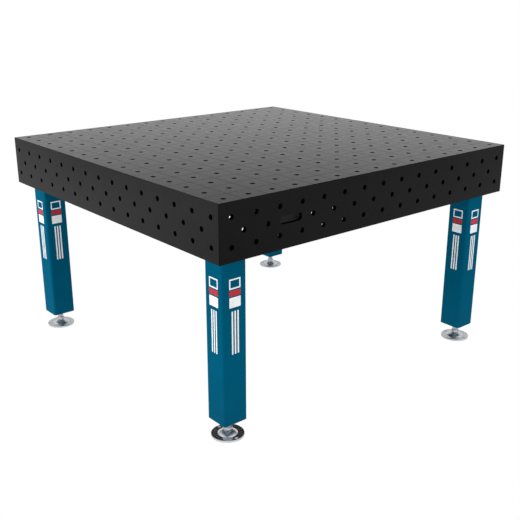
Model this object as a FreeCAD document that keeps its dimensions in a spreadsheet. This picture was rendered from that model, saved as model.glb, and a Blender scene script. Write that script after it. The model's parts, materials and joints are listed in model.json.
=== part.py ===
import FreeCAD, Part
import os
import re
import Sketcher

# Welding table: a box of steel plates with a drilled work surface, stiffened by ribs,
# on four bolted square legs that stand on levelling feet.
# Row frame: origin on the floor under the middle of the table, +X to the right along
# the front face, +Y to the rear, +Z up. Every size is in millimetres.

OUT_FOLDER = "parts"
TINY = 1e-4

# Cell name, value, what it measures. "drop" is a distance down from the work surface.
DIMENSIONS = (
    ("table_length", 1500, "work surface, left to right"),
    ("table_width", 1480, "work surface, front to rear"),
    ("table_height", 880, "floor to work surface"),
    ("side_height", 200, "work surface to the lower edge of the side plates"),
    ("plate_thick", 15, "top and side plates"),
    ("edge_bevel", 1, "bevel on the outer edges of the box"),
    ("hole_dia", 16, "fixture holes"),
    ("hole_bevel", 1.5, "countersink round a fixture hole, per side"),
    ("hole_pitch", 100, "spacing of the fixture holes"),
    ("hole_count", 15, "fixture holes in a row"),
    ("row_pitch", 50, "drop from one row of side holes to the next"),
    ("slot_length", 98, "round-ended slot in the front plate"),
    ("slot_width", 28, "round-ended slot in the front plate"),
    ("slot_across", 450, "slot centre, left of the middle of the front plate"),
    ("rib_thick", 8, "stiffening ribs"),
    ("rib_drop", 197, "lower edge of the ribs"),
    ("rib_outer", 375, "outer long ribs from the middle of the table"),
    ("rib_inner", 25, "middle long rib, right of the middle of the table"),
    ("cross_rib", 275, "cross ribs from the middle of the table"),
    ("rib_slack", 0.4, "play in the halving joints between ribs"),
    ("corner_side", 210, "corner mounting plates"),
    ("corner_thick", 12, "corner mounting plates"),
    ("leg_inset", 97, "leg centre from the outer faces of the box"),
    ("leg_size", 100, "leg tube, outside"),
    ("leg_wall", 5, "leg tube wall"),
    ("leg_round", 10, "outer corner radius of the leg tube"),
    ("leg_bottom", 67, "floor to the lower end of the leg tube"),
    ("flange_side", 160, "flange on top of each leg"),
    ("flange_thick", 12, "flange on top of each leg"),
    ("bolt_offset", 62, "leg bolt from the leg centre, in both directions"),
    ("bolt_dia", 16, "leg bolts"),
    ("bolt_hole_dia", 17, "clearance holes for the leg bolts"),
    ("head_dia", 31, "countersunk head of a leg bolt"),
    ("socket_flats", 10, "hexagon socket of a leg bolt across the flats"),
    ("socket_depth", 5, "hexagon socket of a leg bolt"),
    ("bolt_flats", 24, "leg bolt nuts across the flats"),
    ("bolt_nut", 13, "height of a leg bolt nut"),
    ("bolt_spare", 5, "bolt end standing out of its nut"),
    ("washer_dia", 30, "washers of the leg bolts"),
    ("washer_thick", 3, "washers of the leg bolts"),
    ("fit_slack", 0.02, "radial play of a nut on a bolt that is tightened for good"),
    ("foot_plate_side", 89.8, "plate that closes the lower end of a leg"),
    ("foot_plate_thick", 12, "plate that closes the lower end of a leg"),
    ("spindle_dia", 24, "threaded spindle of a foot"),
    ("spindle_flats", 36, "lock nuts and long nuts across the flats"),
    ("hexagon_flats", 30, "spindle hexagon across the flats"),
    ("spindle_top", 160, "floor to the upper end of the spindle"),
    ("thread_slack", 0.05, "radial play of the spindle in its threads"),
    ("long_nut", 30, "height of the long nut above the foot plate"),
    ("hexagon_low", 23, "floor to the underside of the spindle hexagon"),
    ("hexagon_high", 34, "floor to the top of the spindle hexagon"),
    ("neck_dia", 13, "spindle neck above the ball"),
    ("ball_dia", 18, "ball at the lower end of the spindle"),
    ("ball_up", 14.5, "floor to the centre of the ball"),
    ("swivel_slack", 0.05, "radial play between spherical faces"),
    ("shell_thick", 1.15, "wall of the ball liner and of the swivel ring"),
    ("liner_cut", 4, "ball liner stops this far above the ball centre"),
    ("ring_cut", 4.5, "swivel ring stops this far above the ball centre"),
    ("ring_skirt", 5, "swivel ring stops this far below the ball centre"),
    ("base_dia", 120, "flange of a foot base"),
    ("base_low", 1, "floor to the underside of the flange"),
    ("base_high", 8, "floor to the top of the flange"),
    ("base_round", 1.5, "rounding of the upper rim of the flange"),
    ("dome_dia", 72, "dome of a foot base where it meets the flange"),
    ("dome_radius", 54, "radius of the dome's spherical surface"),
    ("dome_high", 20, "floor to the flat top of the dome"),
    ("anchor_dia", 12, "floor anchor holes in a foot base"),
    ("anchor_out", 50, "anchor hole from the foot centre"),
    ("pad_dia", 80, "rubber pad under a foot"),
    ("pad_thick", 2, "rubber pad under a foot"),
    ("lock_nut", 12, "height of the lock nut"),
    ("lock_washer_dia", 40, "washer above the lock nut"),
    ("lock_washer_thick", 3, "washer above the lock nut"),
    ("lock_washer_slack", 0.5, "radial play of the washer on the spindle"),
    ("mark_thick", 0.3, "vinyl marks on the legs"),
    ("mark_drop", 76, "top of the marks below the top of the leg"),
    ("mark_width", 47, "overall width of the marks"),
    ("frame_height", 36, "open square mark"),
    ("frame_line", 5, "line width of the open square mark"),
    ("band_drop", 117, "red band below the top of the leg"),
    ("band_height", 19, "red band"),
    ("block_drop", 141, "white block below the top of the leg"),
    ("block_height", 36, "white block"),
    ("stripe_drop", 190, "stripes below the top of the leg"),
    ("stripe_length", 156, "stripes"),
    ("stripe_width", 6, "one stripe"),
    ("stripe_pitch", 12, "spacing of the stripes"),
)

# Corner name, side along X, side along Y, and the turn that points +X and +Y outwards.
CORNERS = (
    ("front_left", "-", "-", 180),
    ("front_right", "", "-", 270),
    ("rear_left", "-", "", 90),
    ("rear_right", "", "", 0),
)

# The hexagon of a foot stands turned so that a flat looks out over the corner.
HEXAGON_TURN = 20


# ---------------------------------------------------------------- sheet and expressions


def make_sheet(doc):
    """Fill the spreadsheet that drives every size."""
    sheet = doc.addObject("Spreadsheet::Sheet", "Sizes")
    for row, (alias, value, meaning) in enumerate(DIMENSIONS, 1):
        sheet.set("A%d" % row, meaning)
        sheet.set("B%d" % row, str(value))
        sheet.setAlias("B%d" % row, alias)
    doc.recompute()
    return sheet


def formula(text):
    """Point the cell names in a formula at the sheet; function names stay as they are."""
    return re.sub(r"\b[a-z][a-z_]+\b(?!\()", lambda word: "Sizes." + word.group(), text)


def bind(target, name, text):
    """Drive one property of an object by a formula of cell names."""
    target.setExpression(name, formula(text))


def place(body, x, y, z, rotation=None):
    """Put a body into the row frame; x, y and z are formulas, None means zero."""
    body.Placement = FreeCAD.Placement(FreeCAD.Vector(), rotation or FreeCAD.Rotation())
    for axis, text in (("x", x), ("y", y), ("z", z)):
        if text is not None:
            bind(body, "Placement.Base." + axis, text)


# ---------------------------------------------------------------- bodies and sketches


def new_body(doc, label):
    """Start a body whose label names its file."""
    body = doc.addObject("PartDesign::Body", label)
    body.Label = label
    body.AllowCompound = True
    return body


def origin_plane(body, role):
    """Find one of the body's own origin planes."""
    return next(item for item in body.Origin.OriginFeatures if item.Role == role)


def new_sketch(body, name, role="XY_Plane"):
    """Start a sketch on one of the body's origin planes."""
    sketch = body.newObject("Sketcher::SketchObject", name)
    sketch.AttachmentSupport = [(origin_plane(body, role), "")]
    sketch.MapMode = "FlatFace"
    return sketch


def measure(sketch, kind, geometry, point, text):
    """Hold a point of a sketch at a formula's distance from the sketch origin."""
    number = sketch.addConstraint(Sketcher.Constraint(kind, -1, 1, geometry, point, 1.0))
    sketch.setExpression("Constraints[%d]" % number, formula(text))


def draw_rectangle(sketch, left, right, low, high):
    """Draw a rectangle between four formulas."""
    first = sketch.GeometryCount
    corners = [FreeCAD.Vector(x, y, 0) for x, y in ((-1, -1), (1, -1), (1, 1), (-1, 1))]
    for side in range(4):
        sketch.addGeometry(Part.LineSegment(corners[side], corners[(side + 1) % 4]))
    for side in range(4):
        here = first + side
        after = first + (side + 1) % 4
        sketch.addConstraint(Sketcher.Constraint("Coincident", here, 2, after, 1))
        direction = "Vertical" if side % 2 else "Horizontal"
        sketch.addConstraint(Sketcher.Constraint(direction, here))
    measure(sketch, "DistanceX", first, 1, left)
    measure(sketch, "DistanceX", first, 2, right)
    measure(sketch, "DistanceY", first, 1, low)
    measure(sketch, "DistanceY", first + 2, 1, high)


def draw_circle(sketch, across, up, diameter):
    """Draw a circle with its centre at two formulas."""
    normal = FreeCAD.Vector(0, 0, 1)
    number = sketch.addGeometry(Part.Circle(FreeCAD.Vector(1, 1, 0), normal, 1))
    measure(sketch, "DistanceX", number, 3, across)
    measure(sketch, "DistanceY", number, 3, up)
    size = sketch.addConstraint(Sketcher.Constraint("Diameter", number, 2.0))
    sketch.setExpression("Constraints[%d]" % size, formula(diameter))


def pad(body, sketch, thickness, downwards=True):
    """Thicken a sketch; a plate grows down from the sketch, which is its outer face."""
    feature = body.newObject("PartDesign::Pad", "Pad")
    feature.Profile = sketch
    feature.Reversed = downwards
    bind(feature, "Length", thickness)
    return feature


def pocket_through(body, sketch, upwards=False):
    """Cut a sketch through the whole body."""
    feature = body.newObject("PartDesign::Pocket", "Pocket")
    feature.Profile = sketch
    feature.Type = "ThroughAll"
    feature.Reversed = upwards
    return feature


def repeat(body, feature, sketch, across=None, up=None):
    """Repeat a feature over a grid; across and up are pairs of total length and count."""
    pattern = body.newObject("PartDesign::LinearPattern", "Grid")
    pattern.Originals = [feature]
    pattern.Direction = (sketch, ["H_Axis" if across else "V_Axis"])
    pattern.Mode = "Extent"
    length, count = across or up
    bind(pattern, "Length", length)
    bind(pattern, "Occurrences", count)
    if across and up:
        pattern.Direction2 = (sketch, ["V_Axis"])
        pattern.Mode2 = "Extent"
        bind(pattern, "Length2", up[0])
        bind(pattern, "Occurrences2", up[1])
    body.Tip = pattern
    return pattern


def repeat_body(body, across, up):
    """Repeat everything a body holds at the four corners of a rectangle."""
    body.Document.recompute()
    pattern = body.newObject("PartDesign::LinearPattern", "Copies")
    pattern.TransformMode = "Whole shape"
    for suffix, role, length in (("", "X_Axis", across), ("2", "Y_Axis", up)):
        setattr(pattern, "Direction" + suffix, (origin_plane(body, role), [""]))
        setattr(pattern, "Mode" + suffix, "Extent")
        setattr(pattern, "Occurrences" + suffix, 2)
        bind(pattern, "Length" + suffix, length)
    body.Tip = pattern
    return pattern


def primitive(body, kind, height, sizes, across=None, up=None):
    """Add or cut a primitive on the body's XY plane, raised to a height unless None."""
    feature = body.newObject("PartDesign::" + kind, kind)
    feature.AttachmentSupport = [(origin_plane(body, "XY_Plane"), "")]
    feature.MapMode = "FlatFace"
    if height is not None:
        bind(feature, "AttachmentOffset.Base.z", height)
    if across is not None:
        bind(feature, "AttachmentOffset.Base.x", across)
    if up is not None:
        bind(feature, "AttachmentOffset.Base.y", up)
    for name, text in sizes.items():
        bind(feature, name, text)
    return feature


def hexagon(body, kind, height, flats, length, across=None, up=None):
    """Add or cut a hexagonal prism given across its flats."""
    sizes = {"Circumradius": flats + " / sqrt(3)", "Height": length}
    return primitive(body, kind, height, sizes, across, up)


def dress(body, kind, base, size_name, size, wanted):
    """Bevel or round the edges of a feature that pass a test."""
    body.Document.recompute()
    edges = enumerate(base.Shape.Edges, 1)
    names = ["Edge%d" % number for number, edge in edges if wanted(edge)]
    feature = body.newObject("PartDesign::" + kind, kind)
    feature.Base = (base, names)
    bind(feature, size_name, size)
    return feature


def same(first, second):
    return abs(first - second) < TINY


def is_upright(edge):
    """Does an edge run along the body's Z?"""
    start, end = edge.Vertexes[0].Point, edge.Vertexes[-1].Point
    return same(start.x, end.x) and same(start.y, end.y) and not same(start.z, end.z)


def is_level_at(edge, height):
    """Does an edge lie at one height of the body's Z?"""
    return all(same(vertex.Z, height) for vertex in edge.Vertexes)


# ---------------------------------------------------------------- box of plates and ribs


def drill_grid(body, columns, low, rows, count="hole_count"):
    """Drill countersunk fixture holes: centred columns, rows upwards from a low one."""
    sketch = new_sketch(body, "FirstHole")
    span = "hole_pitch * (%s - 1)" % count
    draw_circle(sketch, "-%s / 2" % span, low, "hole_dia")
    body.Document.recompute()
    hole = body.newObject("PartDesign::Hole", "FixtureHole")
    hole.Profile = sketch
    body.Document.recompute()
    hole.ThreadType = "None"
    hole.DepthType = "ThroughAll"
    hole.DrillPoint = "Flat"
    bind(hole, "Diameter", "hole_dia")
    hole.HoleCutType = "Countersink"
    hole.HoleCutCustomValues = True
    hole.HoleCutCountersinkAngle = 90
    bind(hole, "HoleCutDiameter", "hole_dia + 2 * hole_bevel")
    return repeat(body, hole, sketch, (span, columns), rows)


def make_top_plate(doc):
    """Work surface: fixture holes on a square grid, outer edges bevelled."""
    body = new_body(doc, "top_plate")
    outline = new_sketch(body, "Outline")
    draw_rectangle(
        outline, "-table_length / 2", "table_length / 2", "-table_width / 2", "table_width / 2"
    )
    plate = pad(body, outline, "plate_thick")
    dress(
        body, "Chamfer", plate, "Size", "edge_bevel",
        lambda edge: is_upright(edge) or is_level_at(edge, 0),
    )
    drill_grid(
        body, "hole_count", "-hole_pitch * (hole_count - 1) / 2",
        ("hole_pitch * (hole_count - 1)", "hole_count"),
    )
    place(body, None, None, "table_height")
    return body


def make_side_plate(doc, label, length, turn, x, y, bevel_ends):
    """Side plate drawn from outside: local X along it, local Y up from the work surface.

    Three rows of fixture holes; the middle one is half a pitch out of step.
    """
    body = new_body(doc, label)
    outline = new_sketch(body, "Outline")
    draw_rectangle(
        outline, "-%s / 2" % length, "%s / 2" % length, "-side_height", "-plate_thick"
    )
    plate = pad(body, outline, "plate_thick")
    body.Document.recompute()
    lowest = plate.Shape.BoundBox.YMin

    def is_bevelled(edge):
        ends = [vertex.Point for vertex in edge.Vertexes]
        at_bottom = all(same(point.y, lowest) for point in ends)
        at_end = same(ends[0].x, ends[1].x) and bevel_ends
        return is_level_at(edge, 0) and (at_bottom or at_end)

    dress(body, "Chamfer", plate, "Size", "edge_bevel", is_bevelled)
    drill_grid(body, "hole_count", "-3 * row_pitch", ("2 * row_pitch", "2"))
    drill_grid(body, "hole_count - 1", "-2 * row_pitch", None, "(hole_count - 1)")
    yaw = FreeCAD.Rotation(FreeCAD.Vector(0, 0, 1), turn)
    upright = FreeCAD.Rotation(FreeCAD.Vector(1, 0, 0), 90)
    place(body, x, y, "table_height", yaw * upright)
    return body


def cut_front_slot(body):
    """Round-ended slot through the front plate, in place of one hole of the middle row."""
    straight = "(slot_length - slot_width)"
    primitive(
        body, "SubtractiveBox", "-plate_thick",
        {"Length": straight, "Width": "slot_width", "Height": "plate_thick"},
        "-slot_across - %s / 2" % straight, "-2 * row_pitch - slot_width / 2",
    )
    for side in ("-", "+"):
        primitive(
            body, "SubtractiveCylinder", "-plate_thick",
            {"Radius": "slot_width / 2", "Height": "plate_thick"},
            "-slot_across %s %s / 2" % (side, straight), "-2 * row_pitch",
        )


def make_side_plates(doc):
    """Left and right plates run the full width; front and rear fit between them."""
    between = "(table_length - 2 * plate_thick)"
    half_length, half_width = "table_length / 2", "table_width / 2"
    front = make_side_plate(
        doc, "front_side_plate", between, 0, None, "-" + half_width, False
    )
    cut_front_slot(front)
    rear = make_side_plate(
        doc, "rear_side_plate", between, 180, None, half_width, False
    )
    left = make_side_plate(
        doc, "left_side_plate", "table_width", -90, "-" + half_length, None, True
    )
    right = make_side_plate(
        doc, "right_side_plate", "table_width", 90, half_length, None, True
    )
    return [front, rear, left, right]


def make_rib(doc, label, length, notches, from_top, turn, x, y):
    """Rib drawn from the side, with halving notches at given places."""
    body = new_body(doc, label)
    outline = new_sketch(body, "Outline")
    draw_rectangle(
        outline, "-%s / 2" % length, "%s / 2" % length, "-rib_drop", "-plate_thick"
    )
    pad(body, outline, "rib_thick")
    middle = "-(rib_drop + plate_thick) / 2"
    notch_low = middle + " - rib_slack / 2" if from_top else "-rib_drop - 1"
    notch_high = "-plate_thick + 1" if from_top else middle + " + rib_slack / 2"
    half_notch = "(rib_thick + rib_slack) / 2"
    cut = new_sketch(body, "Notches")
    for centre in notches:
        draw_rectangle(
            cut, "%s - %s" % (centre, half_notch), "%s + %s" % (centre, half_notch),
            notch_low, notch_high,
        )
    pocket_through(body, cut)
    yaw = FreeCAD.Rotation(FreeCAD.Vector(0, 0, 1), turn)
    upright = FreeCAD.Rotation(FreeCAD.Vector(1, 0, 0), 90)
    place(body, x, y, "table_height", yaw * upright)
    return body


def make_ribs(doc):
    """Three long ribs front to rear, notched from above, over two cross ribs."""
    long_length = "(table_width - 2 * plate_thick)"
    cross_length = "(table_length - 2 * plate_thick)"
    ribs = []
    for label, centre in (
        ("left_long_rib", "-rib_outer"),
        ("middle_long_rib", "rib_inner"),
        ("right_long_rib", "rib_outer"),
    ):
        ribs.append(make_rib(
            doc, label, long_length, ["-cross_rib", "cross_rib"], True, 90,
            centre + " + rib_thick / 2", None,
        ))
    for label, centre in (("front_cross_rib", "-cross_rib"), ("rear_cross_rib", "cross_rib")):
        ribs.append(make_rib(
            doc, label, cross_length, ["-rib_outer", "rib_inner", "rib_outer"], False, 0,
            None, centre + " - rib_thick / 2",
        ))
    return ribs


# ---------------------------------------------------------------- legs


def leg_axis(side_x, side_y):
    """Formulas for the place of a leg's axis."""
    return (
        "%s(table_length / 2 - leg_inset)" % side_x,
        "%s(table_width / 2 - leg_inset)" % side_y,
    )


def outwards(turn):
    return FreeCAD.Rotation(FreeCAD.Vector(0, 0, 1), turn)


def drill_bolt_holes(body):
    """Four clearance holes round the leg axis."""
    sketch = new_sketch(body, "BoltHole")
    draw_circle(sketch, "-bolt_offset", "-bolt_offset", "bolt_hole_dia")
    hole = pocket_through(body, sketch)
    repeat(body, hole, sketch, ("2 * bolt_offset", "2"), ("2 * bolt_offset", "2"))


def make_corner_plate(doc, corner):
    """Plate welded into a corner of the box, which the leg is bolted to."""
    name, side_x, side_y, turn = corner
    body = new_body(doc, name + "_corner_plate")
    outline = new_sketch(body, "Outline")
    outer = "leg_inset - plate_thick"
    inner = "leg_inset - plate_thick - corner_side"
    draw_rectangle(outline, inner, outer, inner, outer)
    pad(body, outline, "corner_thick")
    drill_bolt_holes(body)
    x, y = leg_axis(side_x, side_y)
    place(body, x, y, "table_height - side_height + flange_thick + corner_thick", outwards(turn))
    return body


def make_leg_flange(doc, corner):
    """Flange welded on top of a leg, countersunk below for the bolt heads."""
    name, side_x, side_y, turn = corner
    body = new_body(doc, name + "_leg_flange")
    outline = new_sketch(body, "Outline")
    draw_rectangle(
        outline, "-flange_side / 2", "flange_side / 2", "-flange_side / 2", "flange_side / 2"
    )
    plate = pad(body, outline, "flange_thick")
    dress(body, "Fillet", plate, "Radius", "leg_round", is_upright)
    drill_bolt_holes(body)
    sink = {
        "Radius1": "(head_dia + bolt_hole_dia - bolt_dia) / 2",
        "Radius2": "bolt_hole_dia / 2",
        "Height": "(head_dia - bolt_dia) / 2",
    }
    for across in ("-bolt_offset", "bolt_offset"):
        for up in ("-bolt_offset", "bolt_offset"):
            primitive(body, "SubtractiveCone", "-flange_thick", sink, across, up)
    x, y = leg_axis(side_x, side_y)
    place(body, x, y, "table_height - side_height + flange_thick", outwards(turn))
    return body


def make_leg_tube(doc, corner):
    """Square tube with rounded corners, standing on the body's XY plane."""
    name, side_x, side_y, turn = corner
    body = new_body(doc, name + "_leg_tube")
    outline = new_sketch(body, "Outside")
    half = "leg_size / 2"
    draw_rectangle(outline, "-" + half, half, "-" + half, half)
    solid = pad(body, outline, "table_height - side_height - leg_bottom", False)
    dress(body, "Fillet", solid, "Radius", "leg_round", is_upright)
    hollow = new_sketch(body, "Inside")
    inner = "(leg_size / 2 - leg_wall)"
    draw_rectangle(hollow, "-" + inner, inner, "-" + inner, inner)
    tube = pocket_through(body, hollow, True)
    body.Document.recompute()
    corner_at = body.Document.Sizes.leg_size / 2 - body.Document.Sizes.leg_wall

    def is_inner_corner(edge):
        point = edge.Vertexes[0].Point
        return is_upright(edge) and same(abs(point.x), corner_at) and same(abs(point.y), corner_at)

    dress(body, "Fillet", tube, "Radius", "leg_round - leg_wall", is_inner_corner)
    x, y = leg_axis(side_x, side_y)
    place(body, x, y, "leg_bottom", outwards(turn))
    return body


def make_foot_plate(doc, corner):
    """Threaded plate welded into the lower end of a leg."""
    name, side_x, side_y, turn = corner
    body = new_body(doc, name + "_foot_plate")
    outline = new_sketch(body, "Outline")
    half = "foot_plate_side / 2"
    draw_rectangle(outline, "-" + half, half, "-" + half, half)
    plate = pad(body, outline, "foot_plate_thick", False)
    dress(body, "Fillet", plate, "Radius", "leg_round - leg_wall", is_upright)
    bore = {"Radius": "spindle_dia / 2 + thread_slack", "Height": "foot_plate_thick"}
    primitive(body, "SubtractiveCylinder", None, bore)
    x, y = leg_axis(side_x, side_y)
    place(body, x, y, "leg_bottom", outwards(turn))
    return body


def spread_to_legs(body):
    """Repeat what stands at the front left leg at all four legs."""
    repeat_body(body, "table_length - 2 * leg_inset", "table_width - 2 * leg_inset")
    x, y = leg_axis("-", "-")
    place(body, x, y, None)


def make_long_nuts(doc):
    """Long nuts welded on top of the foot plates: the thread that carries the load."""
    body = new_body(doc, "leg_long_nuts")
    low = "leg_bottom + foot_plate_thick"
    hexagon(body, "AdditivePrism", low, "spindle_flats", "long_nut")
    bore = {"Radius": "spindle_dia / 2 + thread_slack", "Height": "long_nut"}
    primitive(body, "SubtractiveCylinder", low, bore)
    spread_to_legs(body)
    return body


def make_leg_bolts(doc):
    """Socket bolts, four to a leg, their countersunk heads flush under the flange."""
    body = new_body(doc, "leg_bolts")
    low = "table_height - side_height"
    corner = ("-bolt_offset", "-bolt_offset")
    head = {
        "Radius1": "head_dia / 2",
        "Radius2": "bolt_dia / 2",
        "Height": "(head_dia - bolt_dia) / 2",
    }
    primitive(body, "AdditiveCone", low, head, *corner)
    length = "flange_thick + corner_thick + washer_thick + bolt_nut + bolt_spare"
    shank = {"Radius": "bolt_dia / 2", "Height": length}
    primitive(body, "AdditiveCylinder", low, shank, *corner)
    hexagon(body, "SubtractivePrism", low, "socket_flats", "socket_depth", *corner)
    repeat_body(body, "2 * bolt_offset", "2 * bolt_offset")
    spread_to_legs(body)
    return body


def make_leg_washers(doc):
    """Washers under the nuts of the leg bolts."""
    body = new_body(doc, "leg_bolt_washers")
    corner = ("-bolt_offset", "-bolt_offset")
    low = "table_height - side_height + flange_thick + corner_thick"
    disc = {"Radius": "washer_dia / 2", "Height": "washer_thick"}
    primitive(body, "AdditiveCylinder", low, disc, *corner)
    bore = {"Radius": "bolt_hole_dia / 2", "Height": "washer_thick"}
    primitive(body, "SubtractiveCylinder", low, bore, *corner)
    repeat_body(body, "2 * bolt_offset", "2 * bolt_offset")
    spread_to_legs(body)
    return body


def make_leg_nuts(doc):
    """Nuts of the leg bolts, on top of the corner plates."""
    body = new_body(doc, "leg_bolt_nuts")
    corner = ("-bolt_offset", "-bolt_offset")
    low = "table_height - side_height + flange_thick + corner_thick + washer_thick"
    hexagon(body, "AdditivePrism", low, "bolt_flats", "bolt_nut", *corner)
    bore = {"Radius": "bolt_dia / 2 + fit_slack", "Height": "bolt_nut"}
    primitive(body, "SubtractiveCylinder", low, bore, *corner)
    repeat_body(body, "2 * bolt_offset", "2 * bolt_offset")
    spread_to_legs(body)
    return body


def stand_marks(body, sketch):
    """Pad a sketch on one leg face and repeat it on every face of every leg."""
    bind(sketch, "AttachmentOffset.Base.z", "leg_size / 2")
    pad(body, sketch, "mark_thick", False)
    body.Document.recompute()
    turned = body.newObject("PartDesign::PolarPattern", "Faces")
    turned.TransformMode = "Whole shape"
    turned.Axis = (origin_plane(body, "Z_Axis"), [""])
    turned.Mode = "Extent"
    turned.Angle = 360
    turned.Occurrences = 4
    body.Tip = turned
    spread_to_legs(body)
    bind(body, "Placement.Base.z", "table_height - side_height")


def make_white_marks(doc):
    """White vinyl: an open square, a block and three stripes."""
    body = new_body(doc, "leg_marks_white")
    sketch = new_sketch(body, "Marks", "XZ_Plane")
    half = "mark_width / 2"
    draw_rectangle(sketch, "-" + half, half, "-mark_drop - frame_height", "-mark_drop")
    draw_rectangle(
        sketch, "-%s + frame_line" % half, half + " - frame_line",
        "-mark_drop - frame_height + frame_line", "-mark_drop - frame_line",
    )
    draw_rectangle(sketch, "-" + half, half, "-block_drop - block_height", "-block_drop")
    for step in (-1, 0, 1):
        centre = "%d * stripe_pitch" % step
        draw_rectangle(
            sketch, centre + " - stripe_width / 2", centre + " + stripe_width / 2",
            "-stripe_drop - stripe_length", "-stripe_drop",
        )
    stand_marks(body, sketch)
    return body


def make_red_marks(doc):
    """Red vinyl: one band under the open square."""
    body = new_body(doc, "leg_marks_red")
    sketch = new_sketch(body, "Marks", "XZ_Plane")
    half = "mark_width / 2"
    draw_rectangle(sketch, "-" + half, half, "-band_drop - band_height", "-band_drop")
    stand_marks(body, sketch)
    return body


# ---------------------------------------------------------------- levelling feet


def new_foot_body(doc, corner, label, turn=0):
    """Start a body on the axis of a foot, with z measured from the floor."""
    name, side_x, side_y, _ = corner
    body = new_body(doc, name + "_" + label)
    x, y = leg_axis(side_x, side_y)
    place(body, x, y, None, outwards(turn))
    return body


def make_spindle(doc, corner):
    """Threaded spindle: ball, neck, hexagon and shaft in one piece."""
    body = new_foot_body(doc, corner, "foot_spindle", HEXAGON_TURN)
    primitive(body, "AdditiveSphere", "ball_up", {"Radius": "ball_dia / 2"})
    neck = {"Radius": "neck_dia / 2", "Height": "hexagon_low - ball_up"}
    primitive(body, "AdditiveCylinder", "ball_up", neck)
    hexagon(
        body, "AdditivePrism", "hexagon_low", "hexagon_flats", "hexagon_high - hexagon_low"
    )
    shaft = {"Radius": "spindle_dia / 2", "Height": "spindle_top - hexagon_high"}
    top = primitive(body, "AdditiveCylinder", "hexagon_high", shaft)
    summit = float(doc.Sizes.spindle_top)
    dress(body, "Chamfer", top, "Size", "edge_bevel", lambda edge: is_level_at(edge, summit))
    return body


def make_shell(body, inner, outer, cut_above, cut_below=None):
    """Spherical shell round the ball, open at the top and perhaps at the bottom."""
    primitive(body, "AdditiveSphere", "ball_up", {"Radius": outer})
    primitive(body, "SubtractiveSphere", "ball_up", {"Radius": inner})
    cutter = {"Radius": outer, "Height": outer}
    primitive(body, "SubtractiveCylinder", "ball_up + " + cut_above, cutter)
    if cut_below:
        height = "ball_up - %s - (%s)" % (cut_below, outer)
        primitive(body, "SubtractiveCylinder", height, cutter)


def make_ball_liner(doc, corner):
    """Plastic cup on the ball, open above for the neck."""
    body = new_foot_body(doc, corner, "foot_ball_liner")
    inner = "ball_dia / 2 + swivel_slack"
    make_shell(body, inner, inner + " + shell_thick", "liner_cut")
    return body


def make_swivel_ring(doc, corner):
    """Steel ring between the liner and the base, spherical inside and outside."""
    body = new_foot_body(doc, corner, "foot_swivel_ring")
    inner = "ball_dia / 2 + 2 * swivel_slack + shell_thick"
    make_shell(body, inner, inner + " + shell_thick", "ring_cut", "ring_skirt")
    return body


def make_foot_base(doc, corner):
    """Base: flange with two anchor holes, dome and spherical seat."""
    body = new_foot_body(doc, corner, "foot_base")
    flange = {"Radius": "base_dia / 2", "Height": "base_high - base_low"}
    disc = primitive(body, "AdditiveCylinder", "base_low", flange)
    rim = float(doc.Sizes.base_high)
    dress(body, "Fillet", disc, "Radius", "base_round", lambda edge: is_level_at(edge, rim))
    sunk = "sqrt(dome_radius ^ 2 - (dome_dia / 2) ^ 2)"
    dome = {
        "Radius": "dome_radius",
        "Angle1": "asin(%s / dome_radius)" % sunk,
        "Angle2": "asin((%s + dome_high - base_high) / dome_radius)" % sunk,
    }
    primitive(body, "AdditiveSphere", "base_high - " + sunk, dome)
    seat = "ball_dia / 2 + 3 * swivel_slack + 2 * shell_thick"
    primitive(body, "SubtractiveSphere", "ball_up", {"Radius": seat})
    recess = {"Radius": "pad_dia / 2", "Height": "pad_thick - base_low"}
    primitive(body, "SubtractiveCylinder", "base_low", recess)
    anchor = {"Radius": "anchor_dia / 2", "Height": "base_high"}
    for side in ("-", ""):
        primitive(body, "SubtractiveCylinder", None, anchor, None, side + "anchor_out")
    return body


def make_foot_pad(doc, corner):
    """Rubber pad let into the underside of the base."""
    body = new_foot_body(doc, corner, "foot_pad")
    disc = {"Radius": "pad_dia / 2", "Height": "pad_thick"}
    primitive(body, "AdditiveCylinder", None, disc)
    return body


def make_lock_nut(doc, corner):
    """Lock nut on the spindle, tightened up against the leg."""
    body = new_foot_body(doc, corner, "lock_nut", HEXAGON_TURN)
    low = "leg_bottom - lock_washer_thick - lock_nut"
    hexagon(body, "AdditivePrism", low, "spindle_flats", "lock_nut")
    bore = {"Radius": "spindle_dia / 2 + thread_slack", "Height": "lock_nut"}
    primitive(body, "SubtractiveCylinder", low, bore)
    return body


def make_lock_washer(doc, corner):
    """Washer between the lock nut and the leg."""
    body = new_foot_body(doc, corner, "lock_washer")
    low = "leg_bottom - lock_washer_thick"
    disc = {"Radius": "lock_washer_dia / 2", "Height": "lock_washer_thick"}
    primitive(body, "AdditiveCylinder", low, disc)
    bore = {"Radius": "spindle_dia / 2 + lock_washer_slack", "Height": "lock_washer_thick"}
    primitive(body, "SubtractiveCylinder", low, bore)
    return body


# ---------------------------------------------------------------- checks and files


def check_model(doc, bodies):
    """Stop if any object failed, any cut removed nothing, or any piece is not sound."""
    for item in doc.Objects:
        if "Invalid" in item.State or "Error" in item.State:
            owner = item.InList[0].Label if item.InList else doc.Label
            raise RuntimeError("%s of %s failed: %s" % (item.Label, owner, item.getStatusString()))
        cuts = any(word in item.TypeId for word in ("Subtractive", "Pocket", "Hole"))
        if cuts and item.Shape.Volume > item.BaseFeature.Shape.Volume - TINY:
            raise RuntimeError("%s of %s cuts nothing" % (item.Label, item.InList[0].Label))
    for body in bodies:
        if body.Shape.isNull() or not body.Shape.isValid():
            raise RuntimeError("%s has no sound shape" % body.Label)


def write_parts(bodies):
    """Write one STEP file for each body."""
    os.makedirs(OUT_FOLDER, exist_ok=True)
    for body in bodies:
        body.Shape.exportStep(os.path.join(OUT_FOLDER, body.Label + ".step"))


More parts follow.
